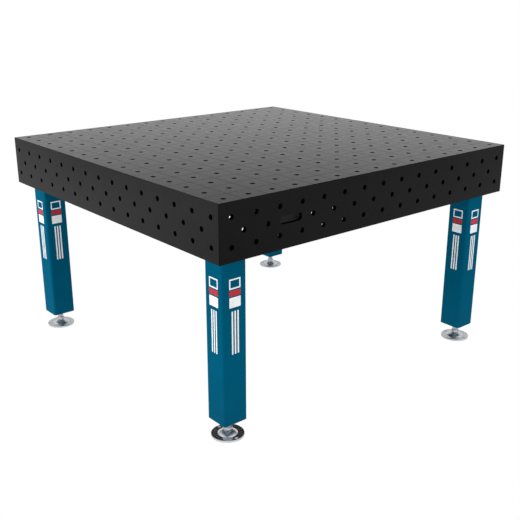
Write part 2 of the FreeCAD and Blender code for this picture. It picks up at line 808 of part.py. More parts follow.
def main():
    doc = FreeCAD.newDocument("welding_table")
    make_sheet(doc)
    bodies = [make_top_plate(doc)]
    bodies += make_side_plates(doc)
    bodies += make_ribs(doc)
    leg_makers = (make_corner_plate, make_leg_flange, make_leg_tube, make_foot_plate)
    foot_makers = (
        make_spindle, make_ball_liner, make_swivel_ring, make_foot_base, make_foot_pad,
        make_lock_nut, make_lock_washer,
    )
    for corner in CORNERS:
        bodies += [make(doc, corner) for make in leg_makers + foot_makers]
    group_makers = (
        make_long_nuts, make_leg_bolts, make_leg_washers, make_leg_nuts,
        make_white_marks, make_red_marks,
    )
    bodies += [make(doc) for make in group_makers]
    doc.recompute()
    check_model(doc, bodies)
    write_parts(bodies)


main()
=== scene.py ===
import json
import math

import bpy
import numpy as np
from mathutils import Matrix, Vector


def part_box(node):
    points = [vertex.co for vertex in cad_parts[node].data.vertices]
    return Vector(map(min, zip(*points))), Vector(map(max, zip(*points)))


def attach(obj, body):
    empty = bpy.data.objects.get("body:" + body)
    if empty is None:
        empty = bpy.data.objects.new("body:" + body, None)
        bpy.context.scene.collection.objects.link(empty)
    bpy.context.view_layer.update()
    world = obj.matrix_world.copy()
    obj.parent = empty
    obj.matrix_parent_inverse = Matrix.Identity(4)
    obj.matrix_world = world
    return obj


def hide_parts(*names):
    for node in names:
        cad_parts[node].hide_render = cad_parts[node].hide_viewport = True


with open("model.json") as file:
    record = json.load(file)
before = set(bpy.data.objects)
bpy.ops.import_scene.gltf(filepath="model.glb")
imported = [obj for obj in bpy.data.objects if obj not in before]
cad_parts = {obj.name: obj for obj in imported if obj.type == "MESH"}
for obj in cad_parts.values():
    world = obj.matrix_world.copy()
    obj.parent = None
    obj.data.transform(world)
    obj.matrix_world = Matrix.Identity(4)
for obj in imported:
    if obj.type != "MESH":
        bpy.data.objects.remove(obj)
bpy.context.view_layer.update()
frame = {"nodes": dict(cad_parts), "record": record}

MM = 0.001
FULL_TURN = 2 * math.pi
CORNERS = ("front_left", "front_right", "rear_left", "rear_right")
FRAME_BODY = "table_frame"
AROUND = 72  # points round a turned or hexagonal piece, a multiple of six
SHARP_EDGE = math.radians(32)

# Sizes that the table's own boxes give.
table_low, table_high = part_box("top_plate")
side_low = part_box("front_side_plate")[0]
tube_low, tube_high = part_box("front_left_leg_tube")

HOLE_PITCH = 100 * MM
LINE_HALF_WIDTH = 0.8 * MM  # of a line scribed on the work surface
LINE_MARGIN = 40 * MM  # the lines stop this far inside the shorter edges
FLAT_ENOUGH = 0.995  # a face whose normal has no part as large as this counts as curved

# Refractive index of the thin dark oxide film: mirror-like only at a shallow angle.
OXIDE_INDEX = 1.18
# The powder coat is set lower still, so that white surroundings don't wash its colour out.
PAINT_INDEX = 1.10


# ---------------------------------------------------------------- node helpers


class Shader:
    """A material's node tree, with short ways to add and join nodes."""

    def __init__(self, name):
        self.material = bpy.data.materials.new(name)
        self.material.use_nodes = True
        self.tree = self.material.node_tree
        self.tree.nodes.clear()
        self.output = self.tree.nodes.new("ShaderNodeOutputMaterial")

    def put(self, socket, value):
        """Set a socket to a number or a colour, or join it to another socket."""
        if isinstance(value, bpy.types.NodeSocket):
            self.tree.links.new(value, socket)
        else:
            socket.default_value = value

    def add(self, kind, settings=None, **inputs):
        """Add a node; inputs are named in lower case with _ for each space."""
        node = self.tree.nodes.new("ShaderNode" + kind)
        for name, value in (settings or {}).items():
            setattr(node, name, value)
        known = {socket.name.lower().replace(" ", "_"): socket for socket in node.inputs}
        for name, value in inputs.items():
            self.put(known[name], value)
        return node

    def math(self, operation, *values):
        """Result of an operation on numbers or sockets."""
        node = self.tree.nodes.new("ShaderNodeMath")
        node.operation = operation
        for socket, value in zip(node.inputs, values):
            self.put(socket, value)
        return node.outputs[0]

    def place(self):
        """Position in the row frame at rest, in metres."""
        return self.add("TexCoord").outputs["Object"]

    def stretched(self, scale):
        """Row-frame position with each axis scaled on its own."""
        node = self.add("Mapping", {"vector_type": "POINT"}, vector=self.place())
        node.inputs["Scale"].default_value = scale
        return node.outputs[0]

    def noise(self, scale, detail=2.0, vector=None, roughness=0.5):
        """Value noise from 0 to 1; scale is in cells to a metre."""
        node = self.add("TexNoise", vector=vector or self.place())
        node.inputs["Scale"].default_value = scale
        node.inputs["Detail"].default_value = detail
        node.inputs["Roughness"].default_value = roughness
        return node.outputs["Fac"]

    def ramp(self, value, low, high):
        """Map low..high of a value to 0..1, clamped."""
        node = self.add("MapRange", {"clamp": True}, value=value)
        node.inputs["From Min"].default_value = low
        node.inputs["From Max"].default_value = high
        return node.outputs[0]

    def blend(self, share, first, second):
        """Mix two colours."""
        node = self.tree.nodes.new("ShaderNodeMix")
        node.data_type = "RGBA"
        self.put(node.inputs["Factor"], share)
        self.put(node.inputs["A"], first)
        self.put(node.inputs["B"], second)
        colours = [s for s in node.outputs if s.type == "RGBA"]
        return colours[0]

    def mix_number(self, share, first, second):
        """Mix two numbers."""
        node = self.tree.nodes.new("ShaderNodeMix")
        node.data_type = "FLOAT"
        self.put(node.inputs["Factor"], share)
        self.put(node.inputs["A"], first)
        self.put(node.inputs["B"], second)
        return node.outputs[0]

    def bump(self, height, strength, distance):
        """Normal of a surface that a height makes uneven."""
        return self.add("Bump", height=height, strength=strength, distance=distance).outputs[0]

    def edges(self, radius, low, high):
        """1 on edges that are sharper than their rounded neighbourhood, else 0."""
        rounded = self.add("Bevel", {"samples": 4}, radius=radius)
        plain = self.add("NewGeometry")
        dot = self.add("VectorMath", {"operation": "DOT_PRODUCT"})
        self.put(dot.inputs[0], rounded.outputs[0])
        self.put(dot.inputs[1], plain.outputs["Normal"])
        return self.ramp(dot.outputs["Value"], high, low)

    def finish(self, **inputs):
        """End the tree in a Principled shader."""
        surface = self.add("BsdfPrincipled", **inputs)
        self.put(self.output.inputs["Surface"], surface.outputs[0])
        return self.material


def rgb(red, green, blue):
    """Opaque colour."""
    return (red, green, blue, 1.0)


def split(shader, vector):
    """The three parts of a vector."""
    return shader.add("SeparateXYZ", vector=vector).outputs


# ---------------------------------------------------------------- materials


def grid_line(shader, along, half_width, reach):
    """1 on a line scribed midway between two hole columns, 0 elsewhere."""
    cell = shader.math("FRACT", shader.math("DIVIDE", along, HOLE_PITCH))
    away = shader.math("ABSOLUTE", shader.math("SUBTRACT", cell, 0.5))
    near = shader.math("LESS_THAN", away, half_width / HOLE_PITCH)
    inside = shader.math("LESS_THAN", shader.math("ABSOLUTE", along), reach)
    return shader.math("MULTIPLY", near, inside)


def drilled(shader):
    """1 on curved walls, such as the bore of a hole, 0 on faces square to an axis."""
    face = split(shader, shader.add("NewGeometry").outputs["Normal"])
    sizes = [shader.math("ABSOLUTE", part) for part in face]
    largest = shader.math("MAXIMUM", shader.math("MAXIMUM", sizes[0], sizes[1]), sizes[2])
    return shader.math("LESS_THAN", largest, FLAT_ENOUGH)


def outer_edge(shader):
    """1 near the outer edges of the box top, 0 on the seams where two plates are flush."""
    x, y, z = split(shader, shader.place())
    reach = 2.5 * MM
    sides = shader.math(
        "ADD",
        shader.math("GREATER_THAN", shader.math("ABSOLUTE", x), table_high.x - reach),
        shader.math("GREATER_THAN", shader.math("ABSOLUTE", y), table_high.y - reach),
    )
    ends = shader.math(
        "ADD",
        shader.math("GREATER_THAN", z, table_high.z - reach),
        shader.math("LESS_THAN", z, side_low.z + reach),
    )
    return shader.math("GREATER_THAN", shader.math("ADD", sides, ends), 1.5)


def scribed_lines(shader):
    """1 on the square grid of lines on the work surface, 0 elsewhere."""
    x, y, z = split(shader, shader.place())
    face = shader.add("NewGeometry").outputs["Normal"]
    up = shader.math("GREATER_THAN", split(shader, face)[2], 0.9)
    top = shader.math("GREATER_THAN", z, table_high.z - 0.4 * MM)
    reach = table_high.y - LINE_MARGIN
    across = grid_line(shader, x, LINE_HALF_WIDTH, reach)
    along = grid_line(shader, y, LINE_HALF_WIDTH, reach)
    lines = shader.math("MAXIMUM", across, along)
    return shader.math("MULTIPLY", shader.math("MULTIPLY", up, top), lines)


def nitrided_steel(name, scribed):
    """Dark satin nitrided plate: ground, mottled, worn on its edges, with painted shade in its
    bores, perhaps scribed.
    """
    shader = Shader(name)
    cloud = shader.noise(3.5, 4.0)
    mottle = shader.noise(38.0, 5.0, roughness=0.6)
    speckle = shader.noise(900.0, 2.0)
    grinding = shader.noise(1.0, 2.0, shader.stretched((22.0, 1500.0, 1500.0)))
    tone = shader.math("MULTIPLY", shader.math("ADD", cloud, mottle), 0.5)
    dark, light = rgb(0.0008, 0.0008, 0.0009), rgb(0.0026, 0.0026, 0.0028)
    colour = shader.blend(shader.ramp(tone, 0.35, 0.65), dark, light)
    colour = shader.blend(shader.ramp(speckle, 0.62, 0.8), colour, rgb(0.010, 0.010, 0.0105))
    rough = shader.mix_number(shader.ramp(mottle, 0.3, 0.7), 0.16, 0.21)
    rough = shader.math("ADD", rough, shader.math("MULTIPLY", grinding, 0.04))
    wear = shader.edges(1.6 * MM, 0.80, 0.96)
    wear = shader.math("MULTIPLY", wear, shader.ramp(mottle, 0.35, 0.6))
    wear = shader.math("MULTIPLY", wear, outer_edge(shader))
    colour = shader.blend(shader.math("MULTIPLY", wear, 0.5), colour, rgb(0.07, 0.07, 0.072))
    # Curved walls, such as the bores of the holes, are painted nearly black as painted shade inside
    # the holes, and made matt.
    bore = drilled(shader)
    colour = shader.blend(bore, colour, rgb(0.0005, 0.0005, 0.0005))
    rough = shader.mix_number(bore, rough, 0.6)
    gloss = shader.mix_number(bore, 0.5, 0.03)
    if scribed:
        lines = scribed_lines(shader)
        colour = shader.blend(lines, colour, rgb(0.002, 0.002, 0.002))
        gloss = shader.mix_number(lines, gloss, 0.0)
        rough = shader.mix_number(lines, rough, 0.7)
    scratches = shader.math("MULTIPLY", grinding, 0.6)
    height = shader.math("ADD", scratches, shader.math("MULTIPLY", speckle, 0.4))
    normal = shader.bump(height, 0.10, 0.1 * MM)
    return shader.finish(
        base_color=colour, roughness=rough, normal=normal, specular_ior_level=gloss, ior=OXIDE_INDEX
    )


def blue_paint():
    """Teal powder coat: orange peel, a little dust and scuffing near the floor."""
    shader = Shader("blue_paint")
    peel = shader.noise(420.0, 2.0)
    tone = shader.noise(5.0, 3.0)
    scuff = shader.noise(1.0, 4.0, shader.stretched((60.0, 60.0, 420.0)), 0.7)
    z = split(shader, shader.place())[2]
    low = shader.ramp(z, tube_low.z + 160 * MM, tube_low.z)
    deep, light = rgb(0.0, 0.074, 0.136), rgb(0.0, 0.082, 0.150)
    colour = shader.blend(shader.ramp(tone, 0.35, 0.65), deep, light)
    dust = shader.math("MULTIPLY", low, shader.ramp(scuff, 0.50, 0.72))
    colour = shader.blend(shader.math("MULTIPLY", dust, 0.08), colour, rgb(0.12, 0.16, 0.18))
    wear = shader.edges(1.2 * MM, 0.72, 0.9)
    wear = shader.math("MULTIPLY", wear, shader.ramp(shader.noise(140.0, 3.0), 0.52, 0.6))
    colour = shader.blend(shader.math("MULTIPLY", wear, 0.6), colour, rgb(0.02, 0.035, 0.045))
    rough = shader.mix_number(shader.ramp(tone, 0.3, 0.7), 0.36, 0.44)
    rough = shader.math("ADD", rough, shader.math("MULTIPLY", dust, 0.25))
    normal = shader.bump(peel, 0.12, 0.15 * MM)
    return shader.finish(
        base_color=colour, roughness=rough, normal=normal, specular_ior_level=0.05, ior=PAINT_INDEX
    )


def foot_radius(shader):
    """Distance from the axis of the nearest foot."""
    x, y, _ = split(shader, shader.place())
    foot_x = (tube_low.x + tube_high.x) / 2
    foot_y = (tube_low.y + tube_high.y) / 2
    across = shader.math("SUBTRACT", shader.math("ABSOLUTE", x), abs(foot_x))
    along = shader.math("SUBTRACT", shader.math("ABSOLUTE", y), abs(foot_y))
    squares = [shader.math("MULTIPLY", v, v) for v in (across, along)]
    return shader.math("SQRT", shader.math("ADD", *squares))


def zinc_steel():
    """Bright zinc on turned steel: fine turning rings, cloudy passivation, dull edges."""
    shader = Shader("zinc_steel")
    radius = foot_radius(shader)
    rings = shader.math("SINE", shader.math("MULTIPLY", radius, FULL_TURN / (0.9 * MM)))
    cloud = shader.noise(60.0, 4.0, roughness=0.6)
    grain = shader.noise(1400.0, 2.0)
    dull, bright = rgb(0.69, 0.70, 0.73), rgb(0.77, 0.78, 0.80)
    colour = shader.blend(shader.ramp(cloud, 0.3, 0.7), dull, bright)
    flange = shader.ramp(radius, 35 * MM, 37 * MM)
    smooth = shader.mix_number(flange, 0.26, 0.20)
    cloudy = shader.mix_number(flange, 0.33, 0.26)
    rough = shader.mix_number(shader.ramp(cloud, 0.35, 0.7), smooth, cloudy)
    rough = shader.math("ADD", rough, shader.math("MULTIPLY", grain, 0.05))
    height = shader.math("ADD", shader.math("MULTIPLY", rings, 0.25), grain)
    normal = shader.bump(height, 0.02, 0.03 * MM)
    return shader.finish(base_color=colour, metallic=1.0, roughness=rough, normal=normal)


def black_fasteners():
    """Black oxide on bolts, nuts and washers: oily and slightly browned."""
    shader = Shader("black_fasteners")
    cloud = shader.noise(120.0, 4.0)
    grain = shader.noise(1600.0, 2.0)
    black, browned = rgb(0.016, 0.016, 0.017), rgb(0.036, 0.031, 0.028)
    colour = shader.blend(shader.ramp(cloud, 0.4, 0.7), black, browned)
    wear = shader.math("MULTIPLY", shader.edges(0.8 * MM, 0.75, 0.95), 0.5)
    colour = shader.blend(wear, colour, rgb(0.16, 0.16, 0.16))
    rough = shader.mix_number(grain, 0.30, 0.48)
    normal = shader.bump(grain, 0.12, 0.05 * MM)
    return shader.finish(base_color=colour, metallic=0.6, roughness=rough, normal=normal)


def weld_metal():
    """Weld bead: dark and satin like the nitrided plate round it, a little lighter."""
    shader = Shader("weld_metal")
    cloud = shader.noise(200.0, 4.0)
    grain = shader.noise(2000.0, 2.0)
    dark, light = rgb(0.026, 0.025, 0.025), rgb(0.05, 0.047, 0.045)
    colour = shader.blend(shader.ramp(cloud, 0.35, 0.65), dark, light)
    rough = shader.mix_number(cloud, 0.32, 0.5)
    normal = shader.bump(grain, 0.15, 0.06 * MM)
    return shader.finish(base_color=colour, metallic=0.5, roughness=rough, normal=normal)


def soft_black(name, grain_size, depth):
    """Rubber or plastic: matt black with a moulded grain."""
    shader = Shader(name)
    grain = shader.noise(1 / grain_size, 3.0)
    cloud = shader.noise(45.0, 3.0)
    dark, light = rgb(0.010, 0.010, 0.010), rgb(0.020, 0.019, 0.018)
    colour = shader.blend(shader.ramp(cloud, 0.4, 0.7), dark, light)
    rough = shader.mix_number(cloud, 0.60, 0.80)
    normal = shader.bump(grain, 0.35, depth)
    return shader.finish(base_color=colour, roughness=rough, normal=normal, specular_ior_level=0.35)


def vinyl(name, light, dark):
    """Cut vinyl film: glossy, a little uneven, with a trace of dirt."""
    shader = Shader(name)
    cloud = shader.noise(26.0, 4.0)
    dirt = shader.noise(480.0, 3.0)
    colour = shader.blend(shader.ramp(cloud, 0.42, 0.75), light, dark)
    specks = shader.math("MULTIPLY", shader.ramp(dirt, 0.66, 0.8), 0.25)
    colour = shader.blend(specks, colour, rgb(0.1, 0.1, 0.1))
    rough = shader.mix_number(cloud, 0.22, 0.36)
    normal = shader.bump(shader.noise(300.0, 1.0), 0.06, 0.08 * MM)
    return shader.finish(base_color=colour, roughness=rough, normal=normal, specular_ior_level=0.2)


MATERIALS = {
    "nitrided_steel": nitrided_steel("nitrided_steel", False),
    "scribed_steel": nitrided_steel("scribed_steel", True),
    "blue_paint": blue_paint(),
    "zinc_steel": zinc_steel(),
    "black_fasteners": black_fasteners(),
    "weld_metal": weld_metal(),
    "black_plastic": soft_black("black_plastic", 0.5 * MM, 0.05 * MM),
    "black_rubber": soft_black("black_rubber", 0.9 * MM, 0.15 * MM),
    "white_vinyl": vinyl("white_vinyl", rgb(0.80, 0.82, 0.83), rgb(0.70, 0.72, 0.73)),
    "red_vinyl": vinyl("red_vinyl", rgb(0.44, 0.014, 0.024), rgb(0.36, 0.010, 0.018)),
}


def dress_cad_nodes():
    """Give every CAD node the finish its slot names; the top plate is the scribed one."""
    slots = {part["node"]: part["material_slot"] for part in frame["record"]["subparts"]}
    for name, node in frame["nodes"].items():
        finish = "scribed_steel" if name == "top_plate" else slots[name]
        for place in node.material_slots:
            place.material = MATERIALS[finish]


# ---------------------------------------------------------------- mesh helpers


def new_piece(name, points, faces, material, body):
    """Make a mesh in the row frame, in metres, that rides on a body.
    """
    mesh = bpy.data.meshes.new(name)
    mesh.from_pydata([tuple(point) for point in points], [], faces)
    mesh.validate()
    mesh.shade_smooth()
    mesh.set_sharp_from_angle(angle=SHARP_EDGE)
    mesh.materials.append(MATERIALS[material])
    piece = bpy.data.objects.new(name, mesh)
    bpy.context.scene.collection.objects.link(piece)
    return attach(piece, body)


ANGLES = np.arange(AROUND) * (FULL_TURN / AROUND)


def ring(radius, height):
    """Points round the Z axis; radius and height are numbers or one per angle."""
    radius = np.broadcast_to(radius, AROUND)
    height = np.broadcast_to(height, AROUND)
    return np.stack([radius * np.cos(ANGLES), radius * np.sin(ANGLES), height], axis=1)


def skin(rings, closed):
    """Points and faces of a surface through rings; closed joins the last to the first."""
    points = np.concatenate(rings)
    faces = []
    last = len(rings) if closed else len(rings) - 1
    for level in range(last):
        low = level * AROUND
        high = (level + 1) % len(rings) * AROUND
        for step in range(AROUND):
            after = (step + 1) % AROUND
            faces.append((low + step, low + after, high + after, high + step))
    if not closed:
        faces.append(tuple(reversed(range(AROUND))))
        faces.append(tuple(range(len(points) - AROUND, len(points))))
    return points, faces


def hexagon_radius(flats):
    """Distance from the axis to a hexagon's outline, with its corners at 0, 60, ..."""
    from_flat = np.mod(ANGLES, math.pi / 3) - math.pi / 6
    return flats / 2 / np.cos(from_flat)


CHAMFER_SLOPE = math.tan(math.radians(30))
CHAMFER_FACE = 0.95  # diameter of the round face the chamfer leaves, in widths across flats


def hexagon_rings(flats, low, high):
    """Rings of a hexagon between two heights, its corners turned off at 30 degrees."""
    outline = hexagon_radius(flats)
    turned = flats / 2 * CHAMFER_FACE
    drop = (outline - turned) * CHAMFER_SLOPE
    return [
        ring(turned, low), ring(outline, low + drop),
        ring(outline, high - drop), ring(turned, high),
    ]


THREAD_DEPTH = 0.613  # of a 60 degree screw thread, in pitches
THREAD_STEEPNESS = 2.6  # of the flanks, in thread depths to a pitch
THREAD_CREST = 0.2  # cut off to leave a flat crest, in thread depths


def thread_rings(crest, pitch, low, high, levels=8):
    """Rings of a 60 degree screw thread that runs out at both ends."""
    depth = THREAD_DEPTH * pitch
    count = int(round((high - low) / pitch * levels))
    rings = []
    for height in np.linspace(low, high, count):
        turn = np.mod(height / pitch - ANGLES / FULL_TURN, 1.0)
        slope = np.clip(np.abs(turn - 0.5) * THREAD_STEEPNESS - THREAD_CREST, 0.0, 1.0)
        run_out = max(0.0, 1 - min(height - low, high - height) / pitch)
        rings.append(ring(crest - depth * slope - depth * (1 - slope) * run_out, height))
    return rings


def moved(points, centre, turn=0.0):
    """Turn points about Z and move them to a centre."""
    cosine, sine = math.cos(turn), math.sin(turn)
    x = points[:, 0] * cosine - points[:, 1] * sine + centre.x
    y = points[:, 0] * sine + points[:, 1] * cosine + centre.y
    return np.stack([x, y, points[:, 2]], axis=1)


class Heap:
    """Collects several meshes into one."""

    def __init__(self):
        self.points = []
        self.faces = []

    def add(self, points, faces):
        """Add a mesh whose faces index its own points."""
        first = len(self.points)
        self.points.extend(map(tuple, points))
        self.faces.extend(tuple(first + index for index in face) for face in faces)


def centre_of(node):
    """Middle of a node's box."""
    low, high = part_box(node)
    return (low + high) / 2


# ---------------------------------------------------------------- feet

HEXAGON_TURN = math.radians(20)
NUT_FLATS = 36 * MM
SPINDLE_FLATS = 30 * MM
SPINDLE_PITCH = 3 * MM


def make_spindle(corner):
    """Spindle in one turned skin: ball, neck, chamfered hexagon, M24 thread."""
    node = corner + "_foot_spindle"
    low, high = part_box(node)
    ball, neck, crest, root = 9 * MM, 6.5 * MM, 12 * MM, 10.2 * MM
    bevel, shoulder = 1.2 * MM, 0.8 * MM
    plain_end = high.z - 47 * MM
    hexagon_low, hexagon_high = low.z + 17.5 * MM, low.z + 28.5 * MM
    ball_centre = low.z + ball
    leaves = math.asin(neck / ball)
    rings = []
    for angle in np.linspace(0.12, math.pi - leaves, 14):
        rings.append(ring(ball * math.sin(angle), ball_centre - ball * math.cos(angle)))
    rings.append(ring(neck, hexagon_low - bevel))
    rings.append(ring(neck + bevel, hexagon_low))
    rings += hexagon_rings(SPINDLE_FLATS, hexagon_low, hexagon_high)
    rings.append(ring(root + shoulder, hexagon_high))
    rings.append(ring(root, hexagon_high + shoulder))
    rings += thread_rings(crest, SPINDLE_PITCH, hexagon_high + 1.5 * MM, plain_end - 1 * MM)
    rings.append(ring(root, plain_end))
    rings.append(ring(root, high.z - bevel))
    rings.append(ring(root - bevel, high.z))
    points, faces = skin(rings, False)
    points = moved(points, centre_of(node), HEXAGON_TURN)
    piece = new_piece(corner + "_spindle", points, faces, "zinc_steel", corner + "_spindle")
    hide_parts(node)


def make_lock_nut(corner):
    """Thin nut with chamfered corners and a chamfered bore, just clear of its washer."""
    node = corner + "_lock_nut"
    low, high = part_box(node)
    bore, lead, play = 12.05 * MM, 1.0 * MM, 0.05 * MM
    top = high.z - play
    rings = [ring(bore, low.z + lead), ring(bore + lead, low.z)]
    rings += hexagon_rings(NUT_FLATS, low.z, top)
    rings += [ring(bore + lead, top), ring(bore, top - lead)]
    points, faces = skin(rings, True)
    points = moved(points, centre_of(node), HEXAGON_TURN)
    piece = new_piece(corner + "_thin_nut", points, faces, "zinc_steel", corner + "_nut")
    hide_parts(node)


def make_washer(corner):
    """Stamped washer with rolled edges."""
    node = corner + "_lock_washer"
    low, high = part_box(node)
    outer, bore, roll = (high.x - low.x) / 2, 12.5 * MM, 0.5 * MM
    rings = [
        ring(bore, low.z + roll), ring(bore + roll, low.z),
        ring(outer - roll, low.z), ring(outer, low.z + roll),
        ring(outer, high.z - roll), ring(outer - roll, high.z),
        ring(bore + roll, high.z), ring(bore, high.z - roll),
    ]
    points, faces = skin(rings, True)
    points = moved(points, centre_of(node))
    piece = new_piece(corner + "_flat_washer", points, faces, "zinc_steel", corner + "_washer")
    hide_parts(node)


def make_pad(corner):
    """Rubber pad with ring treads on its underside."""
    node = corner + "_foot_pad"
    low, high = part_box(node)
    outer, tread, treads, pitch = (high.x - low.x) / 2, 0.8 * MM, 6, 6 * MM
    face, root = 1.5 * MM, 2.2 * MM  # half widths of a tread, at the floor and where it starts
    rings = [ring(1 * MM, low.z + tread)]
    for step in range(1, treads + 1):
        middle = step * pitch
        for offset, height in ((-root, tread), (-face, 0), (face, 0), (root, tread)):
            rings.append(ring(middle + offset, low.z + height))
    rings.append(ring(outer - 0.6 * MM, low.z + tread))
    rings.append(ring(outer, low.z + tread + 0.4 * MM))
    rings.append(ring(outer, high.z))
    points, faces = skin(rings, False)
    points = moved(points, centre_of(node))
    piece = new_piece(corner + "_tread_pad", points, faces, "black_rubber", corner + "_base")
    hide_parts(node)


# ---------------------------------------------------------------- leg fasteners


def bolt_centres():
    """Axes of the sixteen leg bolts, four to a flange."""
    offset = 62 * MM
    for corner in CORNERS:
        axis = centre_of(corner + "_leg_flange")
        for side_x in (-1, 1):
            for side_y in (-1, 1):
                yield Vector((axis.x + side_x * offset, axis.y + side_y * offset, 0))


def make_leg_bolts():
    """Countersunk socket heads under the flanges, threaded ends above the nuts."""
    low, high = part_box("leg_bolts")
    head, shank, socket, pitch = 15.5 * MM, 8 * MM, 10 * MM, 2 * MM
    depth, mouth, bevel = 5 * MM, 6.2 * MM, 0.4 * MM
    thread_start = high.z - 21 * MM
    turn = 0.37  # in radians, from each bolt to the next
    heap = Heap()
    for number, centre in enumerate(bolt_centres()):
        rings = [ring(0.5 * MM, low.z + depth + 1.5 * MM)]
        rings.append(ring(hexagon_radius(socket), low.z + depth))
        rings.append(ring(hexagon_radius(socket), low.z + 0.3 * MM))
        rings.append(ring(mouth, low.z))
        rings.append(ring(head - bevel, low.z))
        rings.append(ring(head, low.z + bevel))
        rings.append(ring(shank, low.z + head - shank + 0.2 * MM))
        rings.append(ring(shank, thread_start - 1 * MM))
        rings += thread_rings(shank, pitch, thread_start, high.z - 0.5 * MM, 6)
        rings.append(ring(shank - 1.4 * MM, high.z))
        points, faces = skin(rings, False)
        heap.add(moved(points, centre, turn * number), faces)
    piece = new_piece("leg_bolt_set", heap.points, heap.faces, "black_fasteners", FRAME_BODY)
    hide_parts("leg_bolts")


def make_leg_nuts():
    """Chamfered nuts on the bolts."""
    low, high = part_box("leg_bolt_nuts")
    bore, lead, flats = 8.02 * MM, 0.8 * MM, 24 * MM
    turn = 0.61  # in radians, from each nut to the next
    heap = Heap()
    for number, centre in enumerate(bolt_centres()):
        rings = [ring(bore, low.z + lead), ring(bore + lead, low.z)]
        rings += hexagon_rings(flats, low.z, high.z)
        rings += [ring(bore + lead, high.z), ring(bore, high.z - lead)]
        points, faces = skin(rings, True)
        heap.add(moved(points, centre, turn * number), faces)
    piece = new_piece("leg_nut_set", heap.points, heap.faces, "black_fasteners", FRAME_BODY)
    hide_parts("leg_bolt_nuts")


# ---------------------------------------------------------------- welds

BEAD_POINTS = 6  # across the round face of a bead
RIPPLE = 4 * MM  # from one ripple of a bead to the next


def add_bead(heap, start, end, side_a, side_b, leg, seed):
    """Fillet weld from start to end in the corner between two faces.

    side_a and side_b point out of the corner along the two faces.
    """
    start, end = Vector(start), Vector(end)
    length = (end - start).length
    rows = max(8, int(length / RIPPLE * 3))
    points, faces = [], []
    for row in range(rows + 1):
        along = row / rows
        centre = start.lerp(end, along)
        ripple = 0.5 + 0.5 * math.cos(FULL_TURN * along * length / RIPPLE)
        wander = math.sin(seed * 1.7 + along * length * 90) * 0.04
        taper = min(1.0, 0.35 + min(along, 1 - along) * length / leg)
        size = leg * taper * (0.92 + 0.10 * ripple + wander)
        points.append(centre)
        for step in range(BEAD_POINTS):
            angle = math.pi / 2 * step / (BEAD_POINTS - 1)
            bulge = size * (0.80 + 0.20 * abs(math.cos(2 * angle)))
            out_a, out_b = bulge * math.cos(angle), bulge * math.sin(angle)
            points.append(centre + side_a * out_a + side_b * out_b)
    across = BEAD_POINTS + 1
    for row in range(rows):
        for step in range(across):
            after = (step + 1) % across
            low, high = row * across, (row + 1) * across
            faces.append((low + step, low + after, high + after, high + step))
    faces.append(tuple(reversed(range(across))))
    faces.append(tuple(range(rows * across, (rows + 1) * across)))
    heap.add(points, faces)


SEAM_MARGIN = 30 * MM  # the least length of plain seam at each end of a row of stitches
PLATE_STITCH, PLATE_GAP = 70 * MM, 130 * MM  # a stitch, and about what lies between two
RIB_STITCH, RIB_GAP = 60 * MM, 170 * MM
RIB_STAGGER = 50 * MM  # the stitches on a rib's two sides are set off by this much


def stitches(first, last, length, gap):
    """Start and end of each stitch of a broken weld between two coordinates."""
    count = max(1, int((last - first + gap) // (length + gap)))
    spare = (last - first - count * length) / (count + 1)
    for number in range(count):
        begin = first + spare + number * (length + spare)
        yield begin, begin + length


X, Y, Z = Vector((1, 0, 0)), Vector((0, 1, 0)), Vector((0, 0, 1))
LONG_RIBS = ("left_long_rib", "middle_long_rib", "right_long_rib")
CROSS_RIBS = ("front_cross_rib", "rear_cross_rib")


def weld_perimeter(heap, ceiling):
    """Stitches between the top plate and the side plates."""
    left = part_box("left_side_plate")[1].x
    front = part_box("front_side_plate")[1].y
    leg = 6 * MM
    number = 0
    for begin, end in stitches(left + SEAM_MARGIN, -left - SEAM_MARGIN, PLATE_STITCH, PLATE_GAP):
        for side in (1, -1):
            y = front * side
            add_bead(heap, (begin, y, ceiling), (end, y, ceiling), Y * side, -Z, leg, number)
            number += 1
    for begin, end in stitches(front + SEAM_MARGIN, -front - SEAM_MARGIN, PLATE_STITCH, PLATE_GAP):
        for side in (1, -1):
            x = left * side
            add_bead(heap, (x, begin, ceiling), (x, end, ceiling), X * side, -Z, leg, number)
            number += 1


def weld_rib(heap, node, ceiling, lengthways):
    """Stitches along the top of a rib, on both sides, and up its two ends."""
    low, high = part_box(node)
    leg, margin = 5 * MM, 40 * MM
    foot, head = low.z + 20 * MM, low.z + 90 * MM
    number = len(heap.points)
    run, side = (1, 0) if lengthways else (0, 1)
    run_axis, side_axis = (Y, X) if lengthways else (X, Y)

    def bead(start, end, across, bottom, top, out, other, seed):
        """Bead between two places on the rib's length and two heights."""
        first = (across, start, bottom) if lengthways else (start, across, bottom)
        last = (across, end, top) if lengthways else (end, across, top)
        add_bead(heap, first, last, out, other, leg, seed)

    for begin, end in stitches(low[run] + margin, high[run] - margin, RIB_STITCH, RIB_GAP):
        bead(begin, end, high[side], ceiling, ceiling, side_axis, -Z, number)
        begin, end = begin + RIB_STAGGER, end + RIB_STAGGER
        bead(begin, end, low[side], ceiling, ceiling, -side_axis, -Z, number + 1)
    for place, inwards in ((low[run], run_axis), (high[run], -run_axis)):
        for across, out in ((low[side], -side_axis), (high[side], side_axis)):
            bead(place, place, across, foot, head, out, inwards, number + 2)


def weld_crossings(heap):
    """Short uprights where the ribs cross."""
    leg, rise = 4.5 * MM, 50 * MM
    for long_rib in LONG_RIBS:
        for cross_rib in CROSS_RIBS:
            a_low, a_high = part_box(long_rib)
            b_low, b_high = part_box(cross_rib)
            for x, out_x in ((a_low.x, -X), (a_high.x, X)):
                for y, out_y in ((b_low.y, -Y), (b_high.y, Y)):
                    low = a_low.z + 12 * MM
                    add_bead(heap, (x, y, low), (x, y, low + rise), out_x, out_y, leg, x + y)


